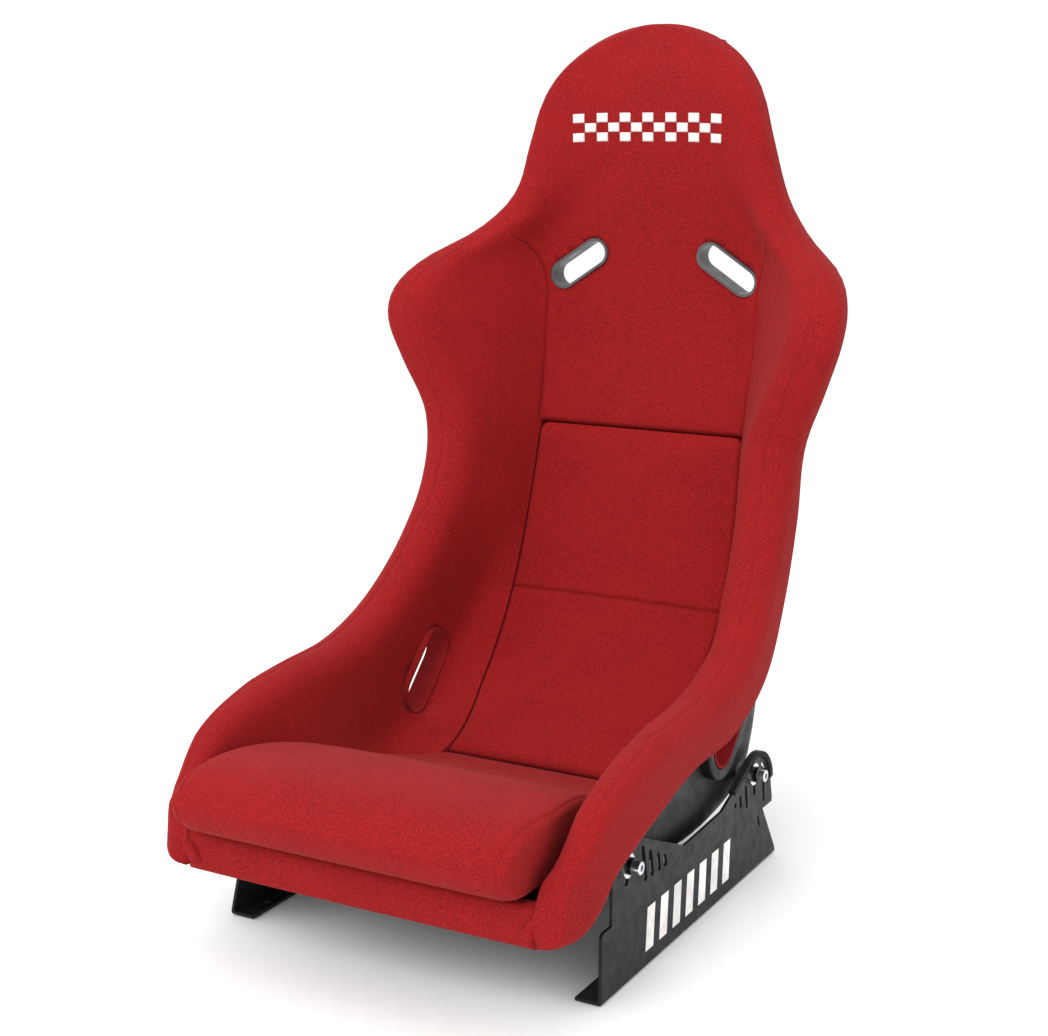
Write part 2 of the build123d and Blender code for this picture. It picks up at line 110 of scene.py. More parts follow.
CREASE, LUMBAR_SEAM, LUMBAR_TOP = 29.0, 51.0, 70.5
NECK, HEAD_BASE, HEAD_TOP, NOSE_ANGLE = 94.5, 109.0, 114.7, -6.6

HARNESS_OUTER, HARNESS_INNER, HARNESS_WIDTH = (114.0, 620.0), (73.0, 647.0), 27.0
BEZEL_WALL = 3.0
BELT_CENTRE, BELT_LENGTH, BELT_WIDTH, BELT_ANGLE = (115.0, 181.0), 102.0, 46.0, 45.0
BELT_WALL, BELT_PANEL_X, BELT_PANEL_RIM, FLANK_X = 2.5, 202.0, 12.0, 190.0

PLATE_X, PLATE_T, FOLD_Z, WEB_FOOT_X = 204.0, 3.0, 61.0, 213.0
ARCH_CENTRE, ARCH_R, SLOPE_FOOT = (171.0, 81.0), 46.5, (107.0, 102.0)
GUARD_END = (260.0, 97.0)

# The outer band swells into a nose between these angles, down to this radius, tucked in more
NOSE_LOW, NOSE_HIGH, NOSE_FOOT, NOSE_TUCK = -6.5, 2.5, 552.0, 22.0
# Whatever of the first section lies further out than this is domed forwards by so much
NOSE_INNER_X, NOSE_DOME = 150.0, 9.0
# In front of this angle the cover's middle stays under the seat cushion
FRONT_ANGLE = -3.0
# Roll along the lower edge of the upper back panel: its span in degrees and its drop
ROLL_SPAN, ROLL_DROP = 1.7, 3.2
# How far the headrest's crown leans back, and how much it tapers
CROWN_OUT, CROWN_TAPER = 42.0, 0.28
# Gaps that the cover and the shell leave around the liners of the slots
COVER_CLEAR, SHELL_CLEAR = 0.2, 0.6


# --- section maths -----------------------------------------------------------------


def table_value(table, angle, column):
    """Smooth value between the rows of a table, by cubic interpolation."""
    count = len(table)
    row = 0
    while row < count - 2 and angle > table[row + 1][0]:
        row += 1

    def slope(k):
        low, high = max(k - 1, 0), min(k + 1, count - 1)
        return (table[high][column] - table[low][column]) / (table[high][0] - table[low][0])

    width = table[row + 1][0] - table[row][0]
    t = (angle - table[row][0]) / width
    return (
        (2 * t**3 - 3 * t**2 + 1) * table[row][column]
        + (t**3 - 2 * t**2 + t) * width * slope(row)
        + (3 * t**2 - 2 * t**3) * table[row + 1][column]
        + (t**3 - t**2) * width * slope(row + 1)
    )


def skin_at(angle):
    return [table_value(SKIN, angle, k) for k in range(1, 7)]


def shell_at(angle):
    return [table_value(SHELL, angle, k) for k in range(1, 5)]


def place(angle, x, radius):
    """The point at x and radius in the section plane at this angle, in metres."""
    a = math.radians(angle)
    return Vector((x, AXIS_Y + radius * math.sin(a), AXIS_Z - radius * math.cos(a))) * MM


def shell_lines(angle):
    """Half outlines of the shell's inside and outside, from the middle to the rim."""
    base, base_half, flank, corner = shell_at(angle)
    _, _, outer, ridge, _, band = skin_at(angle)
    flank_top = min(ridge + band + 6, base - 4)
    flare = min(ridge + band - 4, flank_top - 6)
    rim_top = min(ridge + 24, ridge + 0.6 * band, flare - 8)
    bend = max(base - corner, flank_top + 1)
    rim = outer - RIM_INSET
    t = SHELL_T
    inside = [(0, base), (base_half, base), (flank - t, bend), (flank - t, flank_top - t),
              (rim - t, flare - t), (rim - t, rim_top)]
    outside = [(0, base + t), (base_half + 2, base + t), (flank, bend + 1), (flank, flank_top),
               (rim, flare), (rim, rim_top)]
    return inside, outside


def shell_depth(angle, x):
    (_, base), (base_half, _), (side, bend) = shell_lines(angle)[0][:3]
    if x <= base_half:
        return base
    return base + (bend - base) * (x - base_half) / (side - base_half)


def wing_edge(angle):
    """Half-width of the seam between the centre panel and the wing."""
    floor_half = skin_at(angle)[1]
    if angle <= NECK:
        return floor_half + max(0.0, angle - 86) ** 2 * 0.55
    return floor_half + 40 * (1 - smooth_step(NECK, NECK + 9, angle))


def bell(distance, width):
    return math.exp(-((distance / width) ** 2))


def smooth_step(low, high, value):
    t = min(1.0, max(0.0, (value - low) / (high - low)))
    return t * t * (3 - 2 * t)


# --- polylines ---------------------------------------------------------------------


def rounded(corners, cuts, steps=8):
    """A polyline through corners, each rounded by a curve that starts cut before it."""
    line = [corners[0]]
    for k in range(1, len(corners) - 1):
        (ax, ay), (bx, by), (cx, cy) = corners[k - 1], corners[k], corners[k + 1]
        before, after = math.hypot(bx - ax, by - ay), math.hypot(cx - bx, cy - by)
        cut = min(cuts[k - 1], before * 0.49, after * 0.49)
        if cut < 0.05:
            line.append((bx, by))
            continue
        start = (bx + (ax - bx) * cut / before, by + (ay - by) * cut / before)
        end = (bx + (cx - bx) * cut / after, by + (cy - by) * cut / after)
        for i in range(steps + 1):
            t = i / steps
            line.append(tuple((1 - t) ** 2 * s + 2 * t * (1 - t) * b + t * t * e
                              for s, b, e in zip(start, (bx, by), end)))
    line.append(corners[-1])
    return line


def lengths(line):
    total = [0.0]
    for a, b in zip(line, line[1:]):
        total.append(total[-1] + math.dist(a, b))
    return total


def at_length(line, total, s):
    k = 1
    while k < len(line) - 1 and total[k] < s:
        k += 1
    span = total[k] - total[k - 1]
    t = 0.0 if span < 1e-9 else min(1.0, max(0.0, (s - total[k - 1]) / span))
    return tuple(a + (b - a) * t for a, b in zip(line[k - 1], line[k]))


NEAR_SEAM = (0.0, 0.9, 2.0, 3.6, 6.0)


def stations(start, end, count, seam_start, seam_end):
    """Distances along a line, closer together where it meets a seam."""
    head = [start + d for d in NEAR_SEAM] if seam_start else [start]
    tail = [end - d for d in reversed(NEAR_SEAM)] if seam_end else [end]
    if tail[0] - head[-1] < 2:
        head, tail = [start], [end]
    between = count - len(head) - len(tail) + 2
    low, high = head[-1], tail[0]
    return head[:-1] + [low + (high - low) * k / (between - 1) for k in range(between)] + tail[1:]


# --- mesh helpers ------------------------------------------------------------------


def new_piece(name, mesh, material, body, replaced=()):
    piece = bpy.data.objects.new(name, mesh)
    bpy.context.scene.collection.objects.link(piece)
    dress(piece, material, body, replaced)
    return piece


def dress(piece, material, body, replaced=()):
    piece.data.materials.clear()
    piece.data.materials.append(material)
    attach(piece, body)
    if replaced:
        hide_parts(*replaced)


def mesh_of(name, points, faces, smooth=True):
    mesh = bpy.data.meshes.new(name)
    mesh.from_pydata([tuple(p) for p in points], [], faces)
    build = bmesh.new()
    build.from_mesh(mesh)
    bmesh.ops.recalc_face_normals(build, faces=build.faces)
    build.to_mesh(mesh)
    build.free()
    mesh.shade_smooth() if smooth else mesh.shade_flat()
    return mesh


def skin_rows(rows):
    """Quads between equal closed loops, one after another."""
    count = len(rows[0])
    points = [p for row in rows for p in row]
    faces = []
    for r in range(len(rows) - 1):
        for k in range(count):
            n = (k + 1) % count
            faces.append((r * count + k, r * count + n, (r + 1) * count + n, (r + 1) * count + k))
    return points, faces


def close_halves(faces, first, count):
    """Quads across a mirrored loop, whose halves each run out and back beside themselves."""
    half = count // 2
    for k in range(half // 2):
        for a, b, c, d in ((k, k + 1, half - k - 1, half - k),
                           ((count - k) % count, count - k - 1, half + k + 1, half + k)):
            corners = (a, b, d) if b == c else (a, b, c, d)
            faces.append(tuple(first + i for i in corners))


def select_only(piece):
    bpy.ops.object.select_all(action="DESELECT")
    piece.select_set(True)
    bpy.context.view_layer.objects.active = piece


def cut_with(piece, cutters):
    for cutter in cutters:
        select_only(piece)
        cut = piece.modifiers.new("Cut", "BOOLEAN")
        cut.operation, cut.solver, cut.object = "DIFFERENCE", "EXACT", cutter
        bpy.ops.object.modifier_apply(modifier=cut.name)
    for cutter in cutters:
        bpy.data.objects.remove(cutter)


def obround_cutter(name, centre, axes, length, width, depth):
    """A prism of rounded-slot section: axes are its long, short and depth directions."""
    long_way, short_way, deep_way = (Vector(a) for a in axes)
    reach, radius, steps = (length - width) / 2, width / 2, 16
    ring = []
    for end, turn in ((reach, -90), (-reach, 90)):
        for k in range(steps + 1):
            a = math.radians(turn + 180 * k / steps)
            ring.append(long_way * (end + radius * math.cos(a)) + short_way * radius * math.sin(a))
    middle = Vector(centre)
    points = [(middle + p + deep_way * s * depth / 2) * MM for s in (-1, 1) for p in ring]
    n = len(ring)
    faces = [tuple(range(n)), tuple(range(n, 2 * n))]
    faces += [(k, (k + 1) % n, n + (k + 1) % n, n + k) for k in range(n)]
    cutter = bpy.data.objects.new(name, mesh_of(name, points, faces, smooth=False))
    bpy.context.scene.collection.objects.link(cutter)
    return cutter


def harness_cutters(extra):
    (ox, oz), (ix, iz) = HARNESS_OUTER, HARNESS_INNER
    apart = math.hypot(ox - ix, oz - iz)
    found = []
    for name, side in SIDES:
        along = (side * (ox - ix) / apart, 0, (oz - iz) / apart)
        across = (-along[2], 0, along[0])
        found.append(obround_cutter("harness_cut_" + name, (side * (ox + ix) / 2, 340, (oz + iz) / 2),
                                    (along, across, (0, 1, 0)), apart + HARNESS_WIDTH + 2 * extra,
                                    HARNESS_WIDTH + 2 * extra, 160))
    return found


def belt_cutters(extra):
    a = math.radians(BELT_ANGLE)
    along, across = (0, math.cos(a), math.sin(a)), (0, -math.sin(a), math.cos(a))
    return [obround_cutter("belt_cut_" + name, (side * 160, *BELT_CENTRE), (along, across, (1, 0, 0)),
                           BELT_LENGTH + 2 * extra, BELT_WIDTH + 2 * extra, 200)
            for name, side in SIDES]


# --- materials ---------------------------------------------------------------------


class Sock:
    """A socket whose arithmetic adds Math nodes."""

    def __init__(self, shader, socket):
        self.shader, self.socket = shader, socket

    def _math(self, operation, other):
        return self.shader.add("ShaderNodeMath", {"operation": operation}, {0: self, 1: other})

    def __add__(self, other):
        return self._math("ADD", other)

    def __mul__(self, other):
        return self._math("MULTIPLY", other)


class Shader:
    """A material under construction."""

    def __init__(self, name, **fixed):
        self.material = bpy.data.materials.get(name) or bpy.data.materials.new(name)
        self.material.use_nodes = True
        self.tree = self.material.node_tree
        self.principled = self.tree.nodes["Principled BSDF"]
        self.place = self.add("ShaderNodeTexCoord", {}, {}, "Object")
        for label, value in fixed.items():
            self.principled.inputs[label.replace("_", " ")].default_value = value

    def add(self, kind, settings, sockets, output=0):
        """A new node with its settings and input values; a Sock among the values is linked in."""
        node = self.tree.nodes.new(kind)
        for label, value in settings.items():
            setattr(node, label, value)
        for label, value in sockets.items():
            if isinstance(value, Sock):
                self.tree.links.new(value.socket, node.inputs[label])
            else:
                node.inputs[label].default_value = value
        return Sock(self, node.outputs[output])

    def feed(self, label, value):
        self.tree.links.new(value.socket, self.principled.inputs[label])

    def noise(self, scale, detail=2.0, roughness=0.5):
        return self.add("ShaderNodeTexNoise", {}, {"Vector": self.place, "Scale": scale,
                                                   "Detail": detail, "Roughness": roughness})

    def fade(self, value, low, high, to_low=0.0, to_high=1.0):
        return self.add("ShaderNodeMapRange", {"interpolation_type": "SMOOTHSTEP"},
                        {"Value": value, "From Min": low, "From Max": high,
                         "To Min": to_low, "To Max": to_high})

    def mix(self, factor, first, second):
        return self.add("ShaderNodeMix", {"data_type": "RGBA"}, {0: factor, 6: first, 7: second}, 2)

    def bump(self, height, strength, distance):
        self.feed("Normal", self.add("ShaderNodeBump", {}, {"Height": height, "Strength": strength,
                                                            "Distance": distance}))


def shade(colour, factor):
    return tuple(min(1.0, c * factor) for c in colour[:3]) + (1.0,)


def velour(name, colour, sheen):
    """Short brushed pile: fine speckle, soft patches where it has been stroked."""
    cloth = Shader(name, Sheen_Weight=sheen, Sheen_Roughness=0.45, Specular_IOR_Level=0.12)
    cloth.principled.inputs["Sheen Tint"].default_value = (1.0, 0.38, 0.36, 1.0)
    fleck = cloth.fade(cloth.noise(750.0, 3.0, 0.65), 0.36, 0.64)
    loop = cloth.fade(cloth.noise(420.0, 2.0, 0.6), 0.4, 0.62)
    nap = cloth.fade(cloth.noise(14.0, 3.0, 0.55), 0.35, 0.65)
    pile = cloth.mix(fleck, shade(colour, 0.6), shade(colour, 1.32))
    pile = cloth.mix(loop * 0.35, pile, shade(colour, 0.84))
    pile = cloth.mix(nap * 0.3, pile, shade(colour, 1.16))
    cloth.feed("Base Color", pile)
    cloth.feed("Roughness", cloth.fade(fleck, 0.0, 1.0, 0.98, 0.86))
    cloth.bump(cloth.noise(900.0, 3.0, 0.65) * 0.6 + cloth.noise(300.0, 2.0, 0.6) * 0.4, 0.5, 0.0006)
    return cloth.material


def moulded(name, colour, rough, grain_scale):
    """Moulded plastic or laminate with a fine grain and slight wear."""
    skin = Shader(name, Specular_IOR_Level=0.24)
    cloud = skin.noise(18.0, 4.0, 0.6)
    worn = skin.fade(skin.noise(210.0, 4.0, 0.7), 0.66, 0.76)
    base = skin.mix(skin.fade(cloud, 0.3, 0.7), shade(colour, 0.82), shade(colour, 1.2))
    skin.feed("Base Color", skin.mix(worn * 0.5, base, shade(colour, 2.4)))
    skin.feed("Roughness", skin.fade(skin.noise(60.0, 3.0), 0.3, 0.7, rough - 0.08, rough + 0.08))
    skin.bump(skin.noise(grain_scale, 2.0), 0.25, 0.0003)
    return skin.material


def metal(name, colour, rough, worn_colour, grain, metallic=1.0):
    """Metal or painted metal with brighter worn patches and a fine surface texture."""
    skin = Shader(name, Metallic=metallic, Specular_IOR_Level=0.5 if metallic else 0.15)
    worn = skin.fade(skin.noise(260.0, 4.0, 0.7), 0.68, 0.78, 0.0, 0.35)
    cloud = skin.fade(skin.noise(35.0, 4.0, 0.6), 0.3, 0.7)
    base = skin.mix(cloud, shade(colour, 0.85), shade(colour, 1.15))
    skin.feed("Base Color", skin.mix(worn, base, worn_colour))
    skin.feed("Roughness", skin.fade(skin.noise(90.0, 3.0), 0.3, 0.7, rough - 0.07, rough + 0.09))
    skin.bump(skin.noise(grain, 2.0), 0.3, 0.0002)
    return skin.material


def stitched(name, colour, pitch):
    """Threads lying side by side across X."""
    skin = Shader(name, Sheen_Weight=0.3, Sheen_Roughness=0.4)
    thread = skin.add("ShaderNodeTexWave", {"bands_direction": "X"},
                      {"Vector": skin.place, "Scale": pitch, "Distortion": 0.6, "Detail": 1.0})
    skin.feed("Base Color", skin.mix(thread, shade(colour, 0.72), colour))
    skin.feed("Roughness", skin.fade(thread, 0.0, 1.0, 0.8, 0.5))
    skin.bump(thread, 0.5, 0.0004)
    return skin.material


MATERIALS = {}


# --- settings ----------------------------------------------------------------------


def colour_property(name, description, default):
    return bpy.props.FloatVectorProperty(name=name, description=description, default=default,
                                         size=4, min=0.0, max=1.0, subtype="COLOR")


class SeatFinishes(bpy.types.PropertyGroup):
    velour: colour_property("Velour", "Colour of the brushed cloth", (0.24, 0.0078, 0.0088, 1.0))
    shell: colour_property("Shell", "Colour of the moulded shell", (0.008, 0.008, 0.009, 1.0))
    mount: colour_property("Mounts", "Colour of the powder coat", (0.012, 0.012, 0.013, 1.0))
    thread: colour_property("Thread", "Colour of the embroidery and decals", (0.82, 0.8, 0.78, 1.0))


class SeatSizes(bpy.types.PropertyGroup):
    groove: bpy.props.FloatProperty(name="Seam depth", description="How deep the seams pull in",
                                    default=2.2 * MM, min=0.0, max=5 * MM, unit="LENGTH")
    crown: bpy.props.FloatProperty(name="Crown", description="How far the cushions stand up in the middle",
                                   default=5 * MM, min=0.0, max=15 * MM, unit="LENGTH")
    angle_step: bpy.props.FloatProperty(name="Section step", description="Degrees between sections",
                                        default=1.2, min=0.5, max=5.0)


class StageSizes(bpy.types.PropertyGroup):
    lens: bpy.props.FloatProperty(name="Lens", description="Focal length", default=64.1, min=20.0,
                                  max=200.0, unit="CAMERA")
    floor: bpy.props.FloatProperty(name="Floor", description="Half-width of the floor", default=14.0,
                                   min=2.0, max=50.0, unit="LENGTH")
    paper: colour_property("Floor colour", "Colour of the pale floor", (0.9, 0.9, 0.9, 1.0))


# --- upholstery --------------------------------------------------------------------

CENTRE_N, WALL_N, BAND_N = 26, 24, 26


def band_foot(angle):
    """Radius of the outer band's foot, and how far it is tucked in; it swells into the nose."""
    _, _, _, ridge, _, band = skin_at(angle)
    foot = ridge + band - 3
    nose = 1 - smooth_step(NOSE_LOW, NOSE_HIGH, angle)
    return foot + (NOSE_FOOT - foot) * nose, RIM_INSET - FOAM_GAP / 2 + NOSE_TUCK * nose


def face_line(angle, recess):
    """Half profile of the cover's face: from the middle out over the ridge to the band's foot.

    Returns the line, the distances along it, and those of the wing seam and the ridge seam.
    """
    floor, floor_half, outer, ridge, thick, band = skin_at(angle)
    edge = wing_edge(angle)
    foot, tuck = band_foot(angle)
    tuck = min(tuck, outer - edge - 2)

    # On the headrest the flat middle narrows, so that the face is one shallow dish.
    floor_half *= 1 - 0.4 * smooth_step(94, 102, angle)

    # The wall runs on in a straight line up to the ridge, unless it is hollowed at the hips.
    wall_x, wall_r = max(outer - thick, floor_half + 4), min(ridge + thick / 2, floor - 2)
    reach = min(4.0, (floor - ridge) / (floor - wall_r))
    corner_x = min(floor_half + (wall_x - floor_half) * reach, outer - thick * 0.55)
    share = table_value(HOLLOW, angle, 1) if HOLLOW[0][0] < angle < HOLLOW[-1][0] else 0
    corner = (corner_x + (wall_x + 2 - corner_x) * share, ridge)
    wall = []
    for even, (across, up) in ((0.35, (0.75, 0.10)), (0.65, (0.86, 0.36))):
        wall.append((floor_half + (wall_x - floor_half) * (even + share * (across - even)),
                     floor + (wall_r - floor) * (even + share * (up - even))))
    middle = [(0, floor), (floor_half, floor)]
    rim = [corner, (outer, ridge), (outer, foot), (outer - tuck, foot + 1)]

    soft = smooth_step(LUMBAR_TOP + 3, LUMBAR_TOP + 14, angle)
    inner_cut = 2 + 16 * soft + 18 * smooth_step(92, 100, angle)
    ridge_cut = thick * 0.55
    rim_cuts = [max(min(0.45 * thick, 0.5 * band), thick * 0.42), 5 + (tuck - 9) * 1.6]
    if angle > 86:
        # Above the wings the wall needs no points of its own, and its ends round off freely.
        span = math.dist(middle[1], (wall_x, wall_r))
        rest = math.dist(middle[1], corner) - 0.65 * span
        free = smooth_step(86, 96, angle)
        tight = min(inner_cut, 0.17 * span), min(ridge_cut, 0.49 * rest)
        face = middle + rim
        cuts = [t + (c - t) * free for t, c in zip(tight, (inner_cut, ridge_cut))] + rim_cuts
    else:
        face = middle + wall + rim
        cuts = [inner_cut, 16, 16, ridge_cut] + rim_cuts
    line = rounded(face, cuts)
    if recess:
        base = shell_depth(angle, 0) - 6
        start = min(range(len(line)), key=lambda k: math.dist(line[k], (floor_half, floor)))
        line = [(0, base), (edge - 3, base), (edge, base - 4)] + line[start:]
    total = lengths(line)
    peak_x = outer - thick / 2
    peak = min(range(4, len(line)), key=lambda k: abs(line[k][0] - peak_x) + abs(line[k][1] - ridge))
    ridge_seam = total[peak] + 5
    if recess:
        return line, total, total[3], ridge_seam

    def length_to(x):
        k = next(k for k in range(1, len(line)) if line[k][0] >= x)
        part = (x - line[k - 1][0]) / (line[k][0] - line[k - 1][0])
        return total[k - 1] + (total[k] - total[k - 1]) * part

    tip = ridge_seam - 16
    if angle > NECK:
        home = min(length_to(floor_half), tip)
        return line, total, tip + (home - tip) * smooth_step(NECK, NECK + 10, angle), ridge_seam
    return line, total, min(length_to(edge), tip), ridge_seam


def face_points(angle, recess, groove):
    line, total, seam, peak = face_line(angle, recess)
    ends = ((0.0, seam, CENTRE_N, False, True), (seam, peak, WALL_N, True, True),
            (peak, total[-1], BAND_N, True, False))
    where = []
    for low, high, count, near_low, near_high in ends:
        part = stations(low, high, count, near_low, near_high)
        where += part if not where else part[1:]
    seam_fade = 1 - smooth_step(NECK - 2.5, NECK, angle)
    points = []
    for s in where:
        x, r = at_length(line, total, s)
        ax, ar = at_length(line, total, max(0, s - 1.5))
        bx, br = at_length(line, total, min(total[-1], s + 1.5))
        run = math.hypot(bx - ax, br - ar) or 1.0
        out_x, out_r = (br - ar) / run, -(bx - ax) / run
        push = 0.0
        for centre, strength in ((seam, 0.0 if recess else 1.0), (peak, 0.45)):
            gap = s - centre
            push += strength * seam_fade * (0.35 * groove * bell(abs(gap) - 5.5, 3.5)
                                            - groove * bell(gap, 1.3))
        push -= 0.5 * groove * bell(total[-1] - 13 - s, 1.6)
        points.append((max(0.0, x + out_x * push), r + out_r * push))
    return points


def back_points(angle, count):
    """Underside of the cover, from the band's foot in to the middle."""
    _, _, outer, ridge, _, band = skin_at(angle)
    edge = wing_edge(angle)
    foot, tuck = band_foot(angle)
    tuck = min(tuck, outer - edge - 2)
    top_angle = min(angle, 113)
    inside, outside = shell_lines(top_angle)
    shrink = outer / skin_at(top_angle)[2]
    rise = ridge - skin_at(top_angle)[3]
    g = FOAM_GAP
    rim, rim_top = outside[-1]
    run = [(rim + g / 2, min(foot, rim_top + band)), (rim + g / 2, rim_top - g),
           (rim - SHELL_T - g, rim_top - g), (inside[4][0] - g, inside[4][1] - g),
           (inside[3][0] - g, inside[3][1] - g), (inside[2][0] - g, inside[2][1] - g)]
    corner = max(shell_at(top_angle)[1] - 4, min(edge, inside[2][0] - 4))
    depth = shell_depth(top_angle, corner) - 2 * g
    run += [(corner, depth), (0, shell_depth(top_angle, 0) - 2 * g)]
    run = [(x * shrink, r + rise) for x, r in run]
    run[0] = (outer - tuck, foot + 1)
    nose = 1 - smooth_step(-5.0, 2.0, angle)
    if angle < 2.0:
        low = foot + 1
        plain = [(max(edge + 1, outer - tuck - d), low) for d in (0, 1, 2, 3, 4, 5, 60)]
        run = [tuple(a + (b - a) * nose for a, b in zip(p, q)) for p, q in zip(run, plain)] + [run[-1]]
    total = lengths(run[:-1])
    outer_n = count - CENTRE_N
    outer_run = [at_length(run[:-1], total, total[-1] * k / outer_n) for k in range(outer_n + 1)]
    (last_x, last_r), middle_r = outer_run[-1], run[-1][1]
    middle = []
    for k in range(1, CENTRE_N):
        part = k / (CENTRE_N - 1)
        middle.append((last_x * (1 - part), last_r + (middle_r - last_r) * min(1, 3 * part)))
    return outer_run + middle


def cover_row(angle, recess, groove):
    """One closed loop of the cover: right face, right underside, left underside, left face."""
    face = face_points(angle, recess, groove)
    under = back_points(angle, len(face))
    ahead = min(0.0, angle - FRONT_ANGLE)
    centre_angle = angle if ahead == 0 else FRONT_ANGLE + ahead * 0.12
    right = []
    for k, (x, r) in enumerate(face):
        right.append(place(centre_angle if k < CENTRE_N - 3 else angle, x, r))
    back = []
    for k, (x, r) in enumerate(under):
        inner = k > len(under) - CENTRE_N + 2
        back.append(place(centre_angle if inner else angle, x, r))
    if ahead < 0:
        hidden = shell_depth(FRONT_ANGLE, 0)
        for k in range(CENTRE_N - 3):
            right[k] = place(centre_angle, face[k][0], hidden - 6)
        for k in range(len(under) - CENTRE_N + 3, len(under)):
            back[k] = place(centre_angle, under[k][0], hidden - 3)
    half = right + back
    return half + [Vector((-p.x, p.y, p.z)) for p in reversed(half[1:-1])]


def cover_angles(step):
    special = [LUMBAR_TOP - 0.06, LUMBAR_TOP + 0.06, LUMBAR_TOP + 0.25, LUMBAR_TOP + 0.55,
               LUMBAR_TOP + 1.0, LUMBAR_TOP + 1.6]
    even = []
    a = NOSE_ANGLE
    while a < HEAD_BASE - step / 2:
        if all(abs(a - s) > step * 0.45 for s in special):
            even.append(a)
        a += step
    return sorted(even + special + [HEAD_BASE])


class SEAT_OT_cover(bpy.types.Operator):
    """Sew the one-piece velour cover over the back, the wings, the rim and the noses"""

    bl_idname = "seat.cover"
    bl_label = "Velour cover"

    def execute(self, context):
        sizes = context.scene.seat_sizes
        groove = sizes.groove / MM
        rows = []
        for angle in cover_angles(sizes.angle_step):
            recess = 1 if angle < LUMBAR_TOP else 0
            row = cover_row(angle, recess, groove)
            if LUMBAR_TOP < angle < LUMBAR_TOP + ROLL_SPAN:
                row = self.roll_edge(row, angle)
            rows.append(row)
        rows = self.nose_rows(rows[0]) + rows
        rows += self.head_rows(rows[-1])
        points, faces = skin_rows(rows)
        count = len(rows[0])
        close_halves(faces, 0, count)
        faces.append(tuple(range(len(points) - count, len(points))))
        cover = new_piece("seat_cover", mesh_of("seat_cover", points, faces), MATERIALS["velour"],
                          "seat", ("headrest_pad", "upper_back_pad", "side_bolster_left",
                                             "side_bolster_right"))
        cut_with(cover, harness_cutters(BEZEL_WALL + COVER_CLEAR) + belt_cutters(BELT_WALL + COVER_CLEAR))
        return {"FINISHED"}

    @staticmethod
    def roll_edge(row, angle):
        """Rounds the lower edge of the upper back panel."""
        part = 1 - min(1.0, (angle - LUMBAR_TOP) / ROLL_SPAN)
        drop = ROLL_DROP * (1 - math.sqrt(1 - part**2))
        away = place(angle, 0, 1) - place(angle, 0, 0)
        moved = list(row)
        for k in range(CENTRE_N - 1):
            moved[k] = row[k] + away * drop
            moved[-k] = row[-k] + away * drop if k else moved[0]
        return moved

    @staticmethod
    def nose_rows(row):
        """Domed ends of both noses, ahead of the first full section."""
        half = len(row) // 2
        ahead = (place(NOSE_ANGLE - 1, 0, 500) - place(NOSE_ANGLE, 0, 500)).normalized()
        made = []
        for degrees in (88, 70, 50, 30, 14):
            a = math.radians(degrees)
            moved = list(row)
            for k in range(len(row)):
                partner = row[half - k] if k <= half else row[3 * half - k]
                centre = (row[k] + partner) / 2
                if abs(row[k].x) > NOSE_INNER_X * MM:
                    dome = ahead * NOSE_DOME * MM * math.sin(a)
                    moved[k] = centre + (row[k] - centre) * math.cos(a) + dome
                else:
                    moved[k] = row[k] + ahead * 0.4 * MM * math.sin(a)
            made.append(moved)
        return made

    @staticmethod
    def head_rows(row):
        """Round crown of the headrest, over the last full section."""
        axis = Vector((0, AXIS_Y, AXIS_Z)) * MM
        radii = [math.hypot(p.y - axis.y, p.z - axis.z) / MM for p in row]
        middle = (min(radii) + max(radii)) / 2
        made = []
        for degrees in (6, 12, 18, 24, 30, 36, 42, 48, 54, 60, 66, 72, 77, 81, 84.5, 87):
            a = math.radians(degrees)
            rise = math.sin(a)
            out = CROWN_OUT * (0.55 * rise + 0.45 * rise * rise)
            narrow = (1 - CROWN_TAPER * rise) * math.sqrt(max(0.0, 1 - rise**3))
            made.append([place(HEAD_BASE + (HEAD_TOP - HEAD_BASE) * rise, p.x / MM * narrow,
                               middle + (r - middle) * narrow**0.8 + out)
                         for p, r in zip(row, radii)])
        return made


def loop_piece(rows):
    """Closed mesh through loops whose second half runs back beside the first."""
    points, faces = skin_rows(rows)
    count = len(rows[0])
    for first in (0, len(points) - count):
        half = count // 2
        for k in range(half - 1):
            faces.append((first + k, first + k + 1, first + count - 2 - k, first + count - 1 - k))
    return points, faces


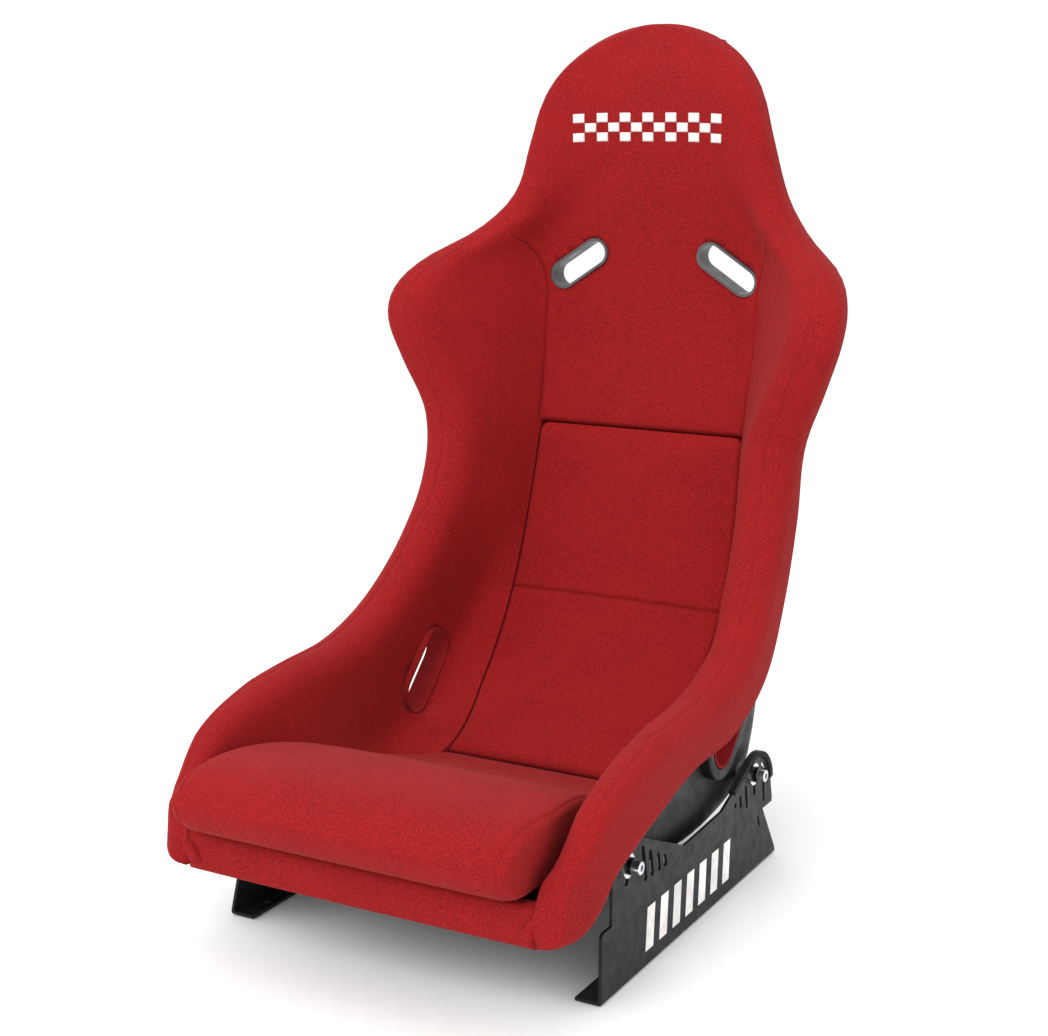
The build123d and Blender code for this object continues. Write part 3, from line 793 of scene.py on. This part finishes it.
class SEAT_OT_lumbar(bpy.types.Operator):
    """Make the loose lumbar cushion with its cross seam"""

    bl_idname = "seat.lumbar"
    bl_label = "Lumbar cushion"

    top_n = 33
    corner_r, edge_r = 10.0, 4.5
    top_gap, side_gap, back_gap = 0.35, 0.5, 3.2

    def section(self, angle, crown, groove):
        """A closed loop: along the face from left to right, then back along the underside."""
        floor = skin_at(angle)[0]
        along = math.radians(1) * floor
        to_top = (LUMBAR_TOP - self.top_gap - angle) * along
        to_foot = (angle - CREASE) * along
        seam = (angle - LUMBAR_SEAM) * along
        corner, edge = self.corner_r, self.edge_r
        bite = corner - math.sqrt(max(0.0, corner**2 - max(0.0, corner - to_top) ** 2))
        half = min(wing_edge(angle) - self.side_gap, shell_lines(angle)[0][2][0] - 3) - bite
        depth = shell_depth(angle, 0) - self.back_gap
        if angle < 40:
            # The foot is a wedge in front of a plane through the crease, so that it slides out.
            slope = math.sin(math.radians(LUMBAR_TOP - CREASE)) / math.sin(math.radians(LUMBAR_TOP - angle))
            depth = min(depth, floor * slope - 1)
        depth = max(floor + 2.0, depth)
        end = 1 - bell(min(to_top, to_foot * 2), 9.0)
        face, under = [], []
        for k in range(self.top_n):
            u = -1 + 2 * k / (self.top_n - 1)
            u = math.copysign(1 - (1 - abs(u)) ** 1.5, u)
            gap = (1 - abs(u)) * half
            fall = edge - math.sqrt(max(0.0, edge**2 - max(0.0, edge - gap) ** 2))
            lift = crown * (1 - u * u) * (0.35 + 0.65 * end)
            pinch = groove * 1.5 * bell(seam, 1.5) - 0.4 * groove * bell(abs(seam) - 7, 5)
            face.append((u * half, floor - lift + fall + pinch + 3.0 * (1 - end)))
            side = 9.0 * min(1.0, (depth - floor) / 40)
            if depth > floor + 9:
                back = max(depth if abs(u) < 0.9 else depth - 1, floor + 8)
            else:
                back = depth + 6
            under.append((u * (half - side), back))
        return [place(angle, x, r) for x, r in face + under[::-1]]

    def execute(self, context):
        sizes = context.scene.seat_sizes
        crown, groove = sizes.crown / MM * 0.6, sizes.groove / MM
        angles = [CREASE + 0.15 + k * 1.0 for k in range(41)]
        angles = [a for a in angles if abs(a - LUMBAR_SEAM) > 0.9 and a < LUMBAR_TOP - 1.7]
        angles += [LUMBAR_SEAM + d for d in (-0.7, -0.42, -0.24, -0.1, 0, 0.1, 0.24, 0.42, 0.7)]
        angles += [LUMBAR_TOP - d for d in (1.5, 1.15, 0.85, 0.62, 0.48, 0.4)]
        rows = [self.section(a, crown, groove) for a in sorted(angles)]
        points, faces = loop_piece(rows)
        piece = new_piece("lumbar_cushion", mesh_of("lumbar_cushion", points, faces),
                          MATERIALS["velour"], "lumbar_cushion",
                          ("lumbar_cushion_upper", "lumbar_cushion_lower"))
        return {"FINISHED"}


# Side view of the seat cushion: its top from the rear to the front roll, then its underside
CUSHION_TOP = [(50, 114), (30, 119.5), (2.7, 124), (-44, 137), (-89, 153.5), (-129, 169.5),
               (-165, 181), (-198, 188.5), (-230, 193), (-262, 196), (-290, 196), (-312, 191),
               (-327, 180), (-333, 165)]
CUSHION_UNDER = [(-333, 165), (-332, 152), (-325, 141), (-312, 134), (-297, 130.5), (-262, 129.5),
                 (-240, 122), (-225, 93), (-198, 91), (-165, 90), (-129, 89), (-89, 86), (-44, 82),
                 (0, 79), (40, 84), (52, 96)]
CUSHION_HALF = [(-345, 179), (-320, 183), (-262, 184), (-230, 181.5), (-198, 176), (-165, 168.5),
                (-129, 159), (-89, 148), (-44, 137), (0, 125.5), (30, 118), (60, 113)]


def along_table(table, y):
    for (y0, v0), (y1, v1) in zip(table, table[1:]):
        if y <= y1:
            return v0 + (v1 - v0) * max(0.0, (y - y0) / (y1 - y0))
    return table[-1][1]


def smooth_line(points, count):
    """Evenly spaced points on a smooth curve through the given ones."""
    dense = []
    for k in range(len(points) - 1):
        p0, p1 = points[max(k - 1, 0)], points[k]
        p2, p3 = points[k + 1], points[min(k + 2, len(points) - 1)]
        for i in range(6):
            t = i / 6
            dense.append(tuple(0.5 * (2 * b + (c - a) * t + (2 * a - 5 * b + 4 * c - d) * t * t
                                      + (3 * b - a - 3 * c + d) * t**3)
                               for a, b, c, d in zip(p0, p1, p2, p3)))
    dense.append(points[-1])
    total = lengths(dense)
    return [at_length(dense, total, total[-1] * k / (count - 1)) for k in range(count)]


class SEAT_OT_cushion(bpy.types.Operator):
    """Make the loose seat cushion with its front roll and end panels"""

    bl_idname = "seat.cushion"
    bl_label = "Seat cushion"

    line_n = 46
    across = 30
    end_turns = (90, 78, 64, 52, 45, 40, 36, 32, 26, 14)
    seam_turn = 36

    def section(self, lines, u, degrees, sizes):
        """A closed loop at share u of the half-width, turned in by degrees where it's an end."""
        crown, groove = sizes.crown / MM, sizes.groove / MM
        top, under = lines
        turn = math.radians(degrees)
        loop = []
        for line, other, upper in ((top, under, True), (under[::-1], top[::-1], False)):
            for (y, z), (other_y, other_z) in zip(line, other):
                half = along_table(CUSHION_HALF, y)
                inward = Vector((0, other_y - y, other_z - z))
                apart = inward.length / 2
                blunt = 1 - smooth_step(-292, -215, y)
                inset = min(8 + 2 * blunt, apart * 0.85) * (1 - math.cos(turn))
                edge = 12 + 8 * blunt
                x = u * (half - edge + edge * math.sin(turn))
                point = Vector((x, y, z))
                if apart > 0.01:
                    seam = groove * bell(degrees - self.seam_turn, 4) if degrees else 0.0
                    point += inward.normalized() * (inset + seam)
                puff = crown * (1 - (x / half) ** 2) * (1 - smooth_step(-200, -60, y)) if upper else 0.0
                front = smooth_step(-290, -335, y)
                point.z += puff * (1 - front)
                point.y -= puff * front
                loop.append(point * MM)
        return loop

    def execute(self, context):
        sizes = context.scene.seat_sizes
        lines = smooth_line(CUSHION_TOP, self.line_n), smooth_line(CUSHION_UNDER, self.line_n)[::-1]
        plan = [(-1, degrees) for degrees in self.end_turns]
        plan += [(-1 + 2 * k / self.across, 0) for k in range(1, self.across)]
        plan += [(1, degrees) for degrees in reversed(self.end_turns)]
        loops = [self.section(lines, u, degrees, sizes) for u, degrees in plan]
        count = self.line_n
        rows = [loop[:count] + loop[count + 1:2 * count - 1] for loop in loops]
        points, faces = skin_rows(rows)
        size = len(rows[0])
        for first in (0, len(points) - size):
            for k in range(size // 2 - 1):
                faces.append((first + k, first + k + 1, first + (size - k - 1) % size,
                              first + (size - k) % size) if k else
                             (first, first + 1, first + size - 1))
            middle = size // 2
            faces.append((first + middle - 1, first + middle, first + middle + 1))
        piece = new_piece("seat_cushion_cover", mesh_of("seat_cushion_cover", points, faces),
                          MATERIALS["velour"], "seat_cushion", ("seat_cushion",))
        return {"FINISHED"}


class SEAT_OT_front_lip(bpy.types.Operator):
    """Make the padded roll along the shell's front edge"""

    bl_idname = "seat.front_lip"
    bl_label = "Front lip"

    def execute(self, context):
        outline = rounded([(9, 106), (9, 127.5), (-9, 127.5), (-9, 85), (9, 85), (9, 106)],
                          [8, 8, 8, 8], 5)
        path = [(x, -289.5 + 1.5 * (x / 200) ** 2) for x in (-191, -184, -170, -130, -90, -45, 0)]
        path += [(-x, y) for x, y in reversed(path[:-1])]
        rows = []
        for k, (x, y) in enumerate(path):
            ax, ay = path[max(k - 1, 0)]
            bx, by = path[min(k + 1, len(path) - 1)]
            run = math.hypot(bx - ax, by - ay)
            out_x, out_y = (by - ay) / run, -(bx - ax) / run
            if out_y > 0.01 and abs(x) < 190:
                out_x, out_y = -out_x, -out_y
            rows.append([Vector((x - out_x * d, y - out_y * d, z)) * MM
                         for d, z in outline[:-1]])
        points, faces = skin_rows(rows)
        count = len(rows[0])
        faces += [tuple(range(count)), tuple(range(len(points) - count, len(points)))]
        piece = new_piece("front_lip", mesh_of("front_lip", points, faces), MATERIALS["velour"],
                          "seat", ("front_lip_pad",))
        return {"FINISHED"}


# --- shell -------------------------------------------------------------------------


def shell_row(angle):
    inside, outside = shell_lines(angle)
    cuts_in = [22, 22, 10, 10]
    outer = rounded(outside, [24, 24, 12, 12], 6)
    inner = rounded(inside, cuts_in, 6)
    out_total, in_total = lengths(outer), lengths(inner)
    n = 40
    out_line = [at_length(outer, out_total, out_total[-1] * k / n) for k in range(n + 1)]
    in_line = [at_length(inner, in_total, in_total[-1] * k / n) for k in range(n, -1, -1)]
    half = [place(angle, x, r) for x, r in out_line + in_line]
    return half + [Vector((-p.x, p.y, p.z)) for p in reversed(half[1:-1])]


class SEAT_OT_shell(bpy.types.Operator):
    """Mould the shell, with its harness and lap-belt slots and the raised panels around the latter"""

    bl_idname = "seat.shell"
    bl_label = "Moulded shell"

    def execute(self, context):
        low, high, steps = SHELL[0][0], SHELL[-1][0], 80
        rows = [shell_row(low + (high - low) * k / steps) for k in range(steps + 1)]
        points, faces = skin_rows(rows)
        count = len(rows[0])
        for first in (0, len(points) - count):
            close_halves(faces, first, count)
        shell = new_piece("shell_skin", mesh_of("shell_skin", points, faces), MATERIALS["shell"],
                          "seat", ("seat_shell",))
        cut_with(shell, harness_cutters(BEZEL_WALL + SHELL_CLEAR) + belt_cutters(BELT_WALL + SHELL_CLEAR))
        self.panels()
        return {"FINISHED"}

    @staticmethod
    def panels():
        """Raised panels around the lap-belt slots, with rounded edges."""
        a = math.radians(BELT_ANGLE)
        along, across = (0, math.cos(a), math.sin(a)), (0, -math.sin(a), math.cos(a))
        rim = 2 * (BELT_WALL + 1 + BELT_PANEL_RIM)
        for name, side in SIDES:
            low, high = FLANK_X - SHELL_T / 2, BELT_PANEL_X
            panel = obround_cutter("belt_panel_" + name, (side * (low + high) / 2, *BELT_CENTRE),
                                   (along, across, (1, 0, 0)), BELT_LENGTH + rim, BELT_WIDTH + rim,
                                   high - low)
            cut_with(panel, belt_cutters(BELT_WALL + SHELL_CLEAR))
            soften = panel.modifiers.new("Soften", "BEVEL")
            soften.width, soften.segments, soften.angle_limit = 2.2 * MM, 3, math.radians(50)
            select_only(panel)
            bpy.ops.object.modifier_apply(modifier=soften.name)
            bpy.ops.object.shade_smooth_by_angle(angle=math.radians(35))
            dress(panel, MATERIALS["shell"], "seat")


# --- mounts and small parts --------------------------------------------------------


def slope_top():
    dy, dz = ARCH_CENTRE[0] - SLOPE_FOOT[0], ARCH_CENTRE[1] - SLOPE_FOOT[1]
    away = math.hypot(dy, dz)
    heading = math.atan2(dz, dy) + math.asin(ARCH_R / away)
    run = math.sqrt(away**2 - ARCH_R**2)
    return (SLOPE_FOOT[0] + run * math.cos(heading), SLOPE_FOOT[1] + run * math.sin(heading))


class SEAT_OT_guards(bpy.types.Operator):
    """Set the ribs on the rubber strips of the rear eyes"""

    bl_idname = "seat.guards"
    bl_label = "Edge guard ribs"

    pitch = 3.6

    def execute(self, context):
        top = slope_top()
        path = [SLOPE_FOOT, top]
        start = math.atan2(top[1] - ARCH_CENTRE[1], top[0] - ARCH_CENTRE[0])
        stop = math.atan2(GUARD_END[1] - ARCH_CENTRE[1], GUARD_END[0] - ARCH_CENTRE[0])
        for k in range(1, 21):
            a = start + (stop - start) * k / 20
            path.append((ARCH_CENTRE[0] + ARCH_R * math.cos(a), ARCH_CENTRE[1] + ARCH_R * math.sin(a)))
        total = lengths(path)
        select_nothing()
        bpy.ops.mesh.primitive_cube_add(size=1.0, location=(0, 0, 0))
        rib = context.object
        rib.scale = (8.2 * MM, 1.5 * MM, 6.4 * MM)
        bpy.ops.object.transform_apply(location=False, rotation=False, scale=True)
        bevel = rib.modifiers.new("Round", "BEVEL")
        bevel.width, bevel.segments = 0.5 * MM, 2
        bpy.ops.object.modifier_apply(modifier=bevel.name)
        blanks = [v.co.copy() for v in rib.data.vertices]
        rib_faces = [tuple(p.vertices) for p in rib.data.polygons]
        bpy.data.objects.remove(rib)
        for name, side in SIDES:
            points, faces = [], []
            count = int((total[-1] - 6) / self.pitch)
            for k in range(count):
                s = 4 + k * self.pitch
                y, z = at_length(path, total, s)
                by, bz = at_length(path, total, s + 1)
                ay, az = at_length(path, total, s - 1)
                run = math.hypot(by - ay, bz - az)
                along = Vector((0, (by - ay) / run, (bz - az) / run))
                out = Vector((0, -along.z, along.y))
                middle = Vector((side * (PLATE_X + PLATE_T / 2), y, z)) * MM - out * 0.9 * MM
                first = len(points)
                points += [middle + Vector((b.x, 0, 0)) + along * b.y + out * b.z for b in blanks]
                faces += [tuple(first + i for i in f) for f in rib_faces]
            new_piece("guard_ribs_" + name, mesh_of("guard_ribs_" + name, points, faces, False),
                      MATERIALS["rubber"], "root")
        return {"FINISHED"}


def select_nothing():
    bpy.ops.object.select_all(action="DESELECT")


class SEAT_OT_decals(bpy.types.Operator):
    """Lay the plain slanted bars on the outside of both mounts"""

    bl_idname = "seat.decals"
    bl_label = "Mount decals"

    count, pitch, start, width = 7, 31.0, -112.0, 17.0
    low, high, lean = 15.0, 55.0, 12.0
    off, thick = 0.02, 0.23

    def execute(self, context):
        corners = ((0, self.low), (self.width, self.low), (self.width + self.lean, self.high),
                   (self.lean, self.high))
        sides = ((0, 1, 5, 4), (1, 2, 6, 5), (2, 3, 7, 6), (3, 0, 4, 7))
        face_x = PLATE_X + PLATE_T
        for name, side in SIDES:
            points, faces = [], []
            for bar in range(self.count):
                first = len(points)
                for lift in (self.off, self.off + self.thick):
                    for dy, z in corners:
                        x = face_x + (WEB_FOOT_X - face_x) * (FOLD_Z - z) / FOLD_Z + lift
                        points.append(Vector((side * x, self.start + bar * self.pitch + dy, z)) * MM)
                for corner in ((0, 1, 2, 3), (4, 5, 6, 7)) + sides:
                    faces.append(tuple(first + k for k in corner))
            new_piece("mount_bars_" + name, mesh_of("mount_bars_" + name, points, faces, False),
                      MATERIALS["decal"], "root")
        return {"FINISHED"}


def face_radius(angle, x):
    """Radius of the cover's face at this distance from the middle."""
    line = face_line(angle, 0)[0]
    k = next(k for k in range(1, len(line)) if line[k][0] >= abs(x))
    part = (abs(x) - line[k - 1][0]) / (line[k][0] - line[k - 1][0])
    return line[k - 1][1] + (line[k][1] - line[k - 1][1]) * part


class SEAT_OT_motif(bpy.types.Operator):
    """Embroider the plain chequered band on the headrest"""

    bl_idname = "seat.motif"
    bl_label = "Headrest motif"

    columns, cell_x, gap_x = 13, 14.2, 0.4
    row_angles = ((103.85, 104.85), (104.92, 105.92), (105.99, 106.99))
    grid = 6

    def cell(self, points, faces, x0, low, high):
        """One embroidered square: a domed face on a flat back."""
        first, n = len(points), self.grid + 1

        def spot(u, v, lift):
            angle, x = low + (high - low) * v, x0 + self.gap_x + (self.cell_x - 2 * self.gap_x) * u
            return place(angle, x, face_radius(angle, x) - lift)

        for i in range(n):
            for j in range(n):
                u, v = i / self.grid, j / self.grid
                rim = min(u, 1 - u, v, 1 - v)
                points.append(spot(u, v, 1.1 * math.sqrt(min(1.0, rim * 5)) + 0.2))
        for i in range(self.grid):
            for j in range(self.grid):
                a = first + i * n + j
                faces.append((a, a + 1, a + n + 1, a + n))
        under = len(points)
        points += [spot(u, v, -0.8) for u, v in ((0, 0), (0, 1), (1, 1), (1, 0))]
        edges = ([first + j for j in range(n)], [first + self.grid + i * n for i in range(n)],
                 [first + self.grid * n + self.grid - j for j in range(n)],
                 [first + (self.grid - i) * n for i in range(n)])
        for k, border in enumerate(edges):
            faces.append(tuple(border) + (under + (k + 1) % 4, under + k))
        faces.append((under, under + 1, under + 2, under + 3))

    def execute(self, context):
        points, faces = [], []
        for row, (low, high) in enumerate(self.row_angles):
            for column in range(row % 2, self.columns, 2):
                self.cell(points, faces, (column - self.columns / 2) * self.cell_x, low, high)
        new_piece("head_motif", mesh_of("head_motif", points, faces), MATERIALS["thread"],
                  "seat", ("head_badge",))
        return {"FINISHED"}


class SEAT_OT_finishes(bpy.types.Operator):
    """Mix every finish and give the carried-over metal and plastic parts theirs"""

    bl_idname = "seat.finishes"
    bl_label = "Finishes"

    def execute(self, context):
        picks = context.scene.seat_finishes
        steel = (0.6, 0.61, 0.63, 1.0)
        MATERIALS.update({
            "velour": velour("red_velour", tuple(picks.velour), 0.06),
            "edge": velour("red_velour_edge", shade(picks.velour, 0.85), 0.05),
            "shell": moulded("charcoal_shell", tuple(picks.shell), 0.5, 500.0),
            "bezel": moulded("slot_plastic", (0.08, 0.082, 0.085, 1.0), 0.4, 700.0),
            "mount": metal("powder_coat", tuple(picks.mount), 0.42, (0.03, 0.03, 0.031, 1.0), 1400.0, 0.0),
            "rubber": moulded("guard_rubber_black", (0.016, 0.016, 0.017, 1.0), 0.6, 900.0),
            "zinc": metal("zinc_plate", (0.72, 0.73, 0.75, 1.0), 0.24, (0.9, 0.9, 0.92, 1.0), 900.0),
            "dark": metal("blackened_steel", (0.02, 0.02, 0.021, 1.0), 0.35, steel, 900.0),
            "spacer": metal("spacer_alloy", (0.6, 0.61, 0.62, 1.0), 0.33, (0.8, 0.8, 0.82, 1.0), 800.0),
            "insert": metal("insert_steel", (0.5, 0.5, 0.52, 1.0), 0.4, (0.75, 0.75, 0.77, 1.0), 800.0),
            "tape": velour("hook_tape_black", (0.012, 0.012, 0.012, 1.0), 0.05),
            "thread": stitched("white_thread", tuple(picks.thread), 420.0),
            "decal": moulded("white_vinyl", tuple(picks.thread), 0.32, 300.0),
        })
        worn = {
            "harness_bezel_left": "bezel", "harness_bezel_right": "bezel",
            "belt_slot_trim_left": "edge", "belt_slot_trim_right": "edge",
            "side_mount_left": "mount", "side_mount_right": "mount",
            "mount_edge_guard_left": "rubber", "mount_edge_guard_right": "rubber",
            "mount_bolts": "zinc", "bolt_washers": "zinc", "bolt_collars": "dark",
            "shell_spacers": "spacer", "threaded_inserts": "insert", "cushion_hook_strips": "tape",
        }
        for node, finish in worn.items():
            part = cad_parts[node]
            part.data.materials.clear()
            part.data.materials.append(MATERIALS[finish])
        return {"FINISHED"}


class SEAT_OT_stage(bpy.types.Operator):
    """Set up the pale floor, the soft lights and the camera"""

    bl_idname = "seat.stage"
    bl_label = "Floor, lights and camera"

    def execute(self, context):
        stage = context.scene.seat_stage
        select_nothing()
        bpy.ops.mesh.primitive_plane_add(size=2 * stage.floor, location=(0, 0, -1.2 * MM))
        floor = context.object
        floor.name = "studio_floor"
        paper = Shader("pale_paper", Roughness=0.9)
        paper.feed("Base Color", paper.mix(paper.noise(3.0) * 0.04, tuple(stage.paper),
                                           shade(stage.paper, 0.97)))
        floor.data.materials.append(paper.material)
        world = bpy.data.worlds.new("studio_world")
        world.use_nodes = True
        back = world.node_tree.nodes["Background"]
        back.inputs["Color"].default_value = (1.0, 1.0, 1.0, 1.0)
        back.inputs["Strength"].default_value = 1.12
        context.scene.world = world
        context.scene.view_settings.view_transform = "Standard"
        centre = Vector((0.0, 0.0, 0.45))
        for name, spot, size, power in (
            ("key_light", (0.2, -2.8, 2.2), 2.0, 58.0),
            ("left_fill", (-3.0, -1.0, 1.6), 2.4, 25.0),
            ("top_light", (0.0, 0.3, 3.2), 2.4, 22.0),
            ("right_light", (2.8, -0.2, 1.3), 2.0, 7.0),
        ):
            data = bpy.data.lights.new(name, "AREA")
            data.shape, data.size, data.energy = "DISK", size, power
            lamp = bpy.data.objects.new(name, data)
            lamp.location = spot
            lamp.rotation_euler = (centre - Vector(spot)).to_track_quat("-Z", "Y").to_euler()
            context.scene.collection.objects.link(lamp)
        self.camera(context, stage)
        return {"FINISHED"}

    @staticmethod
    def camera(context, stage):
        azimuth, elevation = math.radians(29.1), math.radians(12.0)
        back = Vector((math.sin(azimuth) * math.cos(elevation),
                       -math.cos(azimuth) * math.cos(elevation), math.sin(elevation)))
        data = bpy.data.cameras.new("seat_camera")
        data.lens, data.sensor_width = stage.lens, 36.0
        camera = bpy.data.objects.new("seat_camera", data)
        camera.location = (0.9214, -1.6276, 0.7966)
        camera.rotation_euler = (-back).to_track_quat("-Z", "Y").to_euler()
        context.scene.collection.objects.link(camera)
        context.scene.camera = camera


OPERATORS = (SEAT_OT_finishes, SEAT_OT_cover, SEAT_OT_lumbar, SEAT_OT_cushion, SEAT_OT_front_lip,
             SEAT_OT_shell, SEAT_OT_guards, SEAT_OT_decals, SEAT_OT_motif, SEAT_OT_stage)


class SEAT_PT_panel(bpy.types.Panel):
    bl_label = "Racing seat"
    bl_idname = "SEAT_PT_panel"
    bl_space_type = "VIEW_3D"
    bl_region_type = "UI"
    bl_category = "Racing seat"

    def draw(self, context):
        for group in (context.scene.seat_finishes, context.scene.seat_sizes, context.scene.seat_stage):
            for label in group.__annotations__:
                self.layout.prop(group, label)
        for operator in OPERATORS:
            self.layout.operator(operator.bl_idname)


GROUPS = {"seat_finishes": SeatFinishes, "seat_sizes": SeatSizes, "seat_stage": StageSizes}


def register():
    for group in GROUPS.values():
        bpy.utils.register_class(group)
    for label, group in GROUPS.items():
        setattr(bpy.types.Scene, label, bpy.props.PointerProperty(type=group))
    for one in OPERATORS + (SEAT_PT_panel,):
        bpy.utils.register_class(one)


def unregister():
    for one in reversed(OPERATORS + (SEAT_PT_panel,)):
        bpy.utils.unregister_class(one)
    for label, group in GROUPS.items():
        delattr(bpy.types.Scene, label)
        bpy.utils.unregister_class(group)


def main():
    register()
    bpy.ops.seat.finishes()
    bpy.ops.seat.cover()
    bpy.ops.seat.lumbar()
    bpy.ops.seat.cushion()
    bpy.ops.seat.front_lip()
    bpy.ops.seat.shell()
    bpy.ops.seat.guards()
    bpy.ops.seat.decals()
    bpy.ops.seat.motif()
    bpy.ops.seat.stage()


if __name__ == "__main__":
    main()
